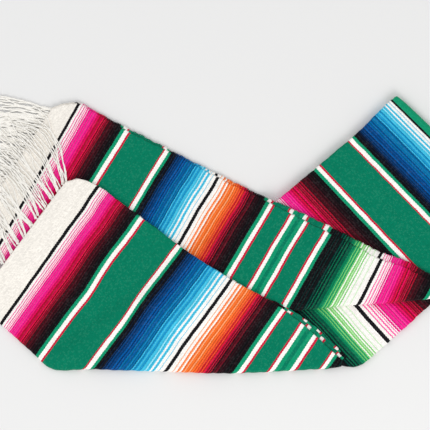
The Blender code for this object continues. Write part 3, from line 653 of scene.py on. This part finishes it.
for layer, reach, kind, slip in ((1, SECOND_SELVAGE, "hem", 5), (2, THIRD_FOLD, "turn", -4),
                                 (3, FOURTH_EDGE, "hem", 0)):
    sides = {"upper": Side(kind, reach), "lower": Side("hem", ((0, -5 - 2 * layer),)),
             "first": Side("hem", ((0, -0.6 * layer),)), "last": Side("hem", ((0, -8),))}
    ply = cloth(f"far_upper_ply_{layer + 1}", FAR_UPPER, sides, ON_FAR, 260, 24,
                layer=layer, slip=((0, slip),), seed=40 + layer)
    if layer == 1:
        far_second = ply
    node = "far_upper_selvage" if layer == 1 else "hidden_layers"
    finish_sheet(ply, node, shaded_inner_wool)
FOOT["far_upper"] = outline(FAR_UPPER)

# ---- the weft turns along the far half's selvages --------------------------------------------------
# The weft turns back round the last warp cord at each pass, so small loose loops of the same dyed yarn
# stand out along the selvages of the top layer and of the second one.
turns = bpy.data.node_groups.new("weft turns", "GeometryNodeTree")
turns.interface.new_socket("Geometry", in_out="INPUT", socket_type="NodeSocketGeometry")
for label, start in (("Loop Radius", 0.0013), ("Thread Radius", 0.00045), ("Lean", 0.5)):
    turns.interface.new_socket(label, in_out="INPUT", socket_type="NodeSocketFloat").default_value = start
turns.interface.new_socket("Seed", in_out="INPUT", socket_type="NodeSocketInt").default_value = 4
turns.interface.new_socket("Yarn", in_out="INPUT", socket_type="NodeSocketMaterial")
turns.interface.new_socket("Geometry", in_out="OUTPUT", socket_type="NodeSocketGeometry")
given = turns.nodes.new("NodeGroupInput")
result = turns.nodes.new("NodeGroupOutput")
spots = add(turns, "GeometryNodeMeshToPoints", given.outputs["Geometry"])
arc = turns.nodes.new("GeometryNodeCurveArc")
arc.inputs["Resolution"].default_value = 7
turns.links.new(given.outputs["Loop Radius"], arc.inputs["Radius"])
arc.inputs["Start Angle"].default_value = -math.radians(110)
arc.inputs["Sweep Angle"].default_value = math.radians(220)
thread = turns.nodes.new("GeometryNodeCurvePrimitiveCircle")
thread.inputs["Resolution"].default_value = 4
turns.links.new(given.outputs["Thread Radius"], thread.inputs["Radius"])
loop_tube = turns.nodes.new("GeometryNodeCurveToMesh")
turns.links.new(arc.outputs["Curve"], loop_tube.inputs["Curve"])
turns.links.new(thread.outputs["Curve"], loop_tube.inputs["Profile Curve"])
loop_tube.inputs["Fill Caps"].default_value = True
outward = add(turns, "GeometryNodeInputNamedAttribute", "outward", data_type="FLOAT_VECTOR").outputs[0]
facing = turns.nodes.new("FunctionNodeAlignRotationToVector")
facing.axis = "X"
turns.links.new(outward, facing.inputs["Vector"])
low = sums(turns, "MULTIPLY", given.outputs["Lean"], -1.0)
swing = turns.nodes.new("FunctionNodeRandomValue")
swing.data_type = "FLOAT"
turns.links.new(low, swing.inputs[2])
turns.links.new(given.outputs["Lean"], swing.inputs[3])
turns.links.new(given.outputs["Seed"], swing.inputs["Seed"])
tilt = add(turns, "ShaderNodeCombineXYZ", swing.outputs[1], swing.outputs[1], swing.outputs[1]).outputs[0]
swung = turns.nodes.new("FunctionNodeRotateRotation")
swung.rotation_space = "LOCAL"
turns.links.new(facing.outputs[0], swung.inputs[0])
turns.links.new(tilt, swung.inputs[1])
big = turns.nodes.new("FunctionNodeRandomValue")
big.data_type = "FLOAT"
big.inputs[2].default_value = 0.55
big.inputs[3].default_value = 1.35
turns.links.new(given.outputs["Seed"], big.inputs["Seed"])
placed = turns.nodes.new("GeometryNodeInstanceOnPoints")
turns.links.new(spots.outputs[0], placed.inputs["Points"])
turns.links.new(loop_tube.outputs[0], placed.inputs["Instance"])
turns.links.new(swung.outputs[0], placed.inputs["Rotation"])
turns.links.new(big.outputs[1], placed.inputs["Scale"])
real = add(turns, "GeometryNodeRealizeInstances", placed.outputs[0])
dressed = turns.nodes.new("GeometryNodeSetMaterial")
turns.links.new(real.outputs[0], dressed.inputs["Geometry"])
turns.links.new(given.outputs["Yarn"], dressed.inputs["Material"])
turns.links.new(dressed.outputs[0], result.inputs["Geometry"])


def made_by(tree, obj, **sizes):
    """Runs a node tree with named inputs on an object and keeps what it makes as a plain mesh."""
    modifier = obj.modifiers.new("make", "NODES")
    modifier.node_group = tree
    for item in tree.interface.items_tree:
        if item.in_out == "INPUT" and item.name.replace(" ", "_") in sizes:
            modifier[item.identifier] = sizes[item.name.replace(" ", "_")]
    graph = bpy.context.evaluated_depsgraph_get()
    mesh = bpy.data.meshes.new_from_object(obj.evaluated_get(graph))
    obj.modifiers.clear()
    obj.data = mesh
    return obj


def on_points(mesh, name, flat):
    """Keeps a flat vector for each point, for the node tree or the dye to read."""
    kept = mesh.attributes.new(name, "FLOAT_VECTOR", "POINT")
    kept.data.foreach_set("vector", np.column_stack([flat, np.zeros(len(flat))]).astype(np.float32).ravel())


def weft_turns(name, selvage, seed):
    spots, outward, weave = selvage
    mesh = bpy.data.meshes.new(name + "_spots")
    mesh.from_pydata(spots.tolist(), [], [])
    on_points(mesh, "outward", outward)
    on_points(mesh, "weave", weave)
    obj = bpy.data.objects.new(name, mesh)
    scene.collection.objects.link(obj)
    made_by(turns, obj, Seed=seed, Yarn=wool)
    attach(obj, "root")


for name, selvage, slot, seed in (("far_upper_weft_turns", far_upper_top[3], "far_upper_run", 4),
                                  ("far_second_weft_turns", far_second[3], "far_upper_selvage", 5)):
    weft_turns(name, selvage, seed)

# ---- the near half's upper run: the top of the stack ----------------------------------------------
# The outermost layer goes right round the whole stack along the lower edge, down to the floor.  The
# upper edge is a fold of two layers, and two selvages show past it near the point.
NEAR_UPPER = [Row(*r) for r in (
    (0, -296, 105, -478, -136),
    (30, -268, 110, -454, -157),
    (60, -234, 97, -430, -179),
    (110, -195, 69, -395, -210),
    (162, -154, 39, -358, -244),
    (199, -123, 17, -331, -268),
    (274, -62, -29, -241, -271),
    (378, 32, -89, -101, -276),
    (490, 129, -144, 36, -279),
    (553, 181, -183, 119, -276),
    (620, 235, -233, 210, -271),
    (638, 247, -244, 229, -270),
    (651, 258, -254, 251, -269),
)]
ON_ALL = ("near_lower", "far_lower", "far_upper")
NEAR_UPPER_SIDES = {"upper": Side("turn", flat_edge), "lower": Side("wrap", flat_edge),
                    "first": Side("turn", flat_edge), "last": Side("hem", flat_edge)}
NEAR_CREASES = [Crease(*c) for c in (
    (150, 215, 85, 90, 14, 0.9), (235, 250, 60, 80, 13, 0.8), (95, 150, 15, 70, 12, 0.5),
    (330, 140, 92, 110, 15, 0.7), (420, 90, 100, 70, 11, 0.5), (520, 60, 95, 50, 9, 0.4),
    (60, 60, 40, 50, 10, -0.4),
)]
NEAR_SWAYS = [Sway(*s) for s in (
    (200, 190, 90, 38, -3.0), (200, 105, 90, 40, 2.0), (90, 20, 60, 25, 1.4), (100, 60, 60, 30, -1.2),
    (330, 150, 70, 50, 2.5),
)]
near_upper_top = cloth("near_upper_cloth", NEAR_UPPER, NEAR_UPPER_SIDES, ON_ALL, 256, 78,
                       creases=NEAR_CREASES, sways=NEAR_SWAYS, seed=14)
finish_sheet(near_upper_top, "near_upper_run", wool)
THIRD = ((0, -1), (455, 0), (500, 5), (560, 7), (600, 7.5), (651, 7))
FOURTH = ((0, 0), (455, 0), (500, 8), (560, 11.5), (600, 12.5), (651, 12.5))
for layer, reach, slip in ((1, ((0, -3), (651, -3)), 0), (2, THIRD, -12), (3, FOURTH, 1)):
    sides = {"upper": Side("hem", reach), "lower": Side("hem", ((0, -5 - 2 * layer),)),
             "first": Side("hem", ((0, -0.7 * layer),)), "last": Side("hem", ((0, -6 + 2.5 * layer),))}
    ply = cloth(f"near_upper_ply_{layer + 1}", NEAR_UPPER, sides, ON_ALL, 200, 24,
                layer=layer, slip=((0, slip),), seed=50 + layer)
    node = "near_upper_selvage" if layer == 3 else "hidden_layers"
    finish_sheet(ply, node, shaded_inner_wool)

# ---- the fringe: warp cords left loose at both ends -----------------------------------------------
# Cream cotton warp cords, twisted, left in small bunches where the cloth ends.  An oval section that
# turns along each cord gives its two plies.  They lie on what is under them and sweep to the left.
Bunch = namedtuple("Bunch", "share lead lead_turn mid mid_turn tip tip_turn cords")
yarn_cream = bpy.data.materials.new("cream cotton yarn")
yarn_cream.use_nodes = True
tree = yarn_cream.node_tree
yarn_shader = tree.nodes["Principled BSDF"]
place = add(tree, "ShaderNodeTexCoord").outputs["Object"]
tuft = add(tree, "ShaderNodeTexNoise", place)
tuft.inputs["Scale"].default_value = 900.0
tuft.inputs["Detail"].default_value = 3.0
ramp = add(tree, "ShaderNodeValToRGB", tuft.outputs[0])
ramp.color_ramp.elements[0].color = (0.97, 0.935, 0.87, 1)
ramp.color_ramp.elements[0].position = 0.25
ramp.color_ramp.elements[1].color = (1.0, 0.98, 0.935, 1)
ramp.color_ramp.elements[1].position = 0.65
tree.links.new(ramp.outputs[0], yarn_shader.inputs["Base Color"])
bump = add(tree, "ShaderNodeBump")
bump.inputs["Strength"].default_value = 0.2
bump.inputs["Distance"].default_value = 0.0001
tree.links.new(tuft.outputs[0], bump.inputs["Height"])
tree.links.new(bump.outputs[0], yarn_shader.inputs["Normal"])
yarn_shader.inputs["Roughness"].default_value = 0.9
yarn_shader.inputs["Specular IOR Level"].default_value = 0.2
yarn_shader.inputs["Sheen Weight"].default_value = 0.3

twist = bpy.data.node_groups.new("two-ply cord", "GeometryNodeTree")
twist.interface.new_socket("Geometry", in_out="INPUT", socket_type="NodeSocketGeometry")
for label, start in (("Cord Radius", 0.0015), ("Turns per Metre", 40.0), ("Flatness", 0.7), ("Step", 0.0034)):
    socket = twist.interface.new_socket(label, in_out="INPUT", socket_type="NodeSocketFloat")
    socket.default_value = start
twist.interface.new_socket("Yarn", in_out="INPUT", socket_type="NodeSocketMaterial")
twist.interface.new_socket("Geometry", in_out="OUTPUT", socket_type="NodeSocketGeometry")
given = twist.nodes.new("NodeGroupInput")
result = twist.nodes.new("NodeGroupOutput")
to_curve = add(twist, "GeometryNodeMeshToCurve", given.outputs["Geometry"])
length = add(twist, "GeometryNodeSplineParameter").outputs["Length"]
angle = sums(twist, "MULTIPLY", length, given.outputs["Turns per Metre"])
angle = sums(twist, "MULTIPLY", angle, 2 * math.pi)
even = twist.nodes.new("GeometryNodeResampleCurve")
even.mode = "LENGTH"
twist.links.new(to_curve.outputs[0], even.inputs["Curve"])
twist.links.new(given.outputs["Step"], even.inputs["Length"])
tilted = twist.nodes.new("GeometryNodeSetCurveTilt")
twist.links.new(even.outputs[0], tilted.inputs["Curve"])
twist.links.new(angle, tilted.inputs["Tilt"])
ring = twist.nodes.new("GeometryNodeCurvePrimitiveCircle")
ring.inputs["Resolution"].default_value = 6
twist.links.new(given.outputs["Cord Radius"], ring.inputs["Radius"])
squeeze = add(twist, "ShaderNodeCombineXYZ", 1.0, given.outputs["Flatness"], 1.0)
oval = twist.nodes.new("GeometryNodeTransform")
twist.links.new(ring.outputs["Curve"], oval.inputs["Geometry"])
twist.links.new(squeeze.outputs[0], oval.inputs["Scale"])
tube = twist.nodes.new("GeometryNodeCurveToMesh")
twist.links.new(tilted.outputs[0], tube.inputs["Curve"])
twist.links.new(oval.outputs[0], tube.inputs["Profile Curve"])
tube.inputs["Fill Caps"].default_value = True
real = add(twist, "GeometryNodeRealizeInstances", tube.outputs[0])
dressed = twist.nodes.new("GeometryNodeSetMaterial")
twist.links.new(real.outputs[0], dressed.inputs["Geometry"])
twist.links.new(given.outputs["Yarn"], dressed.inputs["Material"])
smooth = add(twist, "GeometryNodeSetShadeSmooth", dressed.outputs[0])
twist.links.new(smooth.outputs[0], result.inputs["Geometry"])


def run_tree(name, lines, tree, **sizes):
    """Makes a mesh from polylines by a node tree with named inputs, and applies it."""
    points = []
    edges = []
    for line in lines:
        base = len(points)
        points.extend(line)
        edges.extend((base + k, base + k + 1) for k in range(len(line) - 1))
    guide = bpy.data.meshes.new(name + "_guide")
    guide.from_pydata([tuple(float(c) for c in p) for p in points], edges, [])
    obj = bpy.data.objects.new(name, guide)
    scene.collection.objects.link(obj)
    return made_by(tree, obj, **sizes)


CORD_STEPS = 34        # straight bits in one cord's centre line
MID_STRAY = 0.16       # radians that cords of one bunch part by, halfway and at the tip
TIP_STRAY = 0.30
CORD_REST = 2.0        # a lying cord's centre above what it lies on
ROOT_SHARE = 0.16      # the part of a cord in which it comes down from the cloth


def fringe(edge, bunches, rests, root_top, spread, seed):
    """Cord centre lines in metres: each bunch leaves the edge, bends twice and comes to rest."""
    chance = np.random.default_rng(seed)
    lines = []
    edge = np.array(edge, float)
    for b in bunches:
        root = edge[0] * (1 - b.share) + edge[1] * b.share
        turn = math.radians(b.lead_turn)
        for _ in range(b.cords):
            start = root + chance.normal(0, spread, 2)
            points = [start]
            heading = turn + chance.normal(0, 0.09)
            total = (b.lead + b.mid + b.tip) * chance.uniform(0.82, 1.12)
            bends = [heading, math.radians(b.mid_turn) + chance.normal(0, MID_STRAY)]
            bends.append(math.radians(b.tip_turn) + chance.normal(0, TIP_STRAY))
            cuts = np.array([b.lead, b.mid, b.tip]) / (b.lead + b.mid + b.tip)
            wob = chance.uniform(0, 6.28, 2)
            for k in range(1, CORD_STEPS + 1):
                s = k / CORD_STEPS
                knots = [0, cuts[0], cuts[0] + cuts[1], 1]
                way = np.interp(s, knots, [bends[0], bends[0], bends[1], bends[2]])
                way += 0.16 * s * math.sin(9 * s + wob[0]) + 0.10 * math.sin(21 * s + wob[1])
                points.append(points[-1] + total / CORD_STEPS * np.array([math.cos(way), math.sin(way)]))
            points = np.array(points)
            s = np.linspace(0, 1, len(points))
            ground = rests(points)
            lift = chance.uniform(0.0, 1.3) + 0.7 * np.abs(np.sin(6 * s + wob[0])) * (1 - 0.5 * s)
            z = ground + CORD_REST + lift
            from_top = root_top - chance.uniform(0.8, 7.0)
            f = np.clip(s / ROOT_SHARE, 0, 1)
            f = f * f * (3 - 2 * f)
            z = from_top * (1 - f) + z * f
            lines.append((np.column_stack([points, z]) + ORIGIN) * 0.001)
    return lines


FAR_EDGE = ((-322, 250), (-497, -10))
far_bunches = []
chance = np.random.default_rng(5)
for share in np.linspace(0.01, 0.99, 38):
    way = 176 + 4 * share + chance.normal(0, 6)
    far_bunches.append(Bunch(float(share), 40, way - 7, 52, way + 4, 50, way + chance.normal(6, 12), 5))


def floor_under(points):
    return np.zeros(len(points))


far_fringe = run_tree("far_fringe_cords", fringe(FAR_EDGE, far_bunches, floor_under, 8.6, 2.2, 3), twist,
                      Cord_Radius=0.002, Turns_per_Metre=30.0, Flatness=0.66, Yarn=yarn_cream)
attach(far_fringe, "root")
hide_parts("far_fringe")

NEAR_EDGE = ((-297, 104), (-478, -135))
# where the far fringe lies under the near one, and how high
FAR_BED = np.array([(-330, 250), (-378, 175), (-441, 78), (-499, -8),
                    (-626, 56), (-584, 136), (-520, 232), (-472, 272)], float)
FAR_BED_HIGH = 4.6
near_bunches = []
for share in np.linspace(0.015, 0.97, 14):
    lean = 116 + 12 * share + chance.normal(0, 7)
    at_edge = float(share + chance.normal(0, 0.008))
    near_bunches.append(Bunch(at_edge, 60, lean, 58, lean + 16, 50, 158 + chance.normal(0, 14), 7))


def under_near(points):
    run = BUNDLE * present(points, "far_upper")
    f = np.clip((EASE_OUT - distance(points, FAR_BED)) / (EASE_OUT + EASE_IN), 0, 1)
    return np.maximum(run, FAR_BED_HIGH * f * f * (3 - 2 * f))


near_fringe = run_tree("near_fringe_cords", fringe(NEAR_EDGE, near_bunches, under_near, 17.6, 3.4, 8), twist,
                       Cord_Radius=0.0016, Turns_per_Metre=40.0, Flatness=0.72, Yarn=yarn_cream)
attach(near_fringe, "root")
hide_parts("near_fringe")
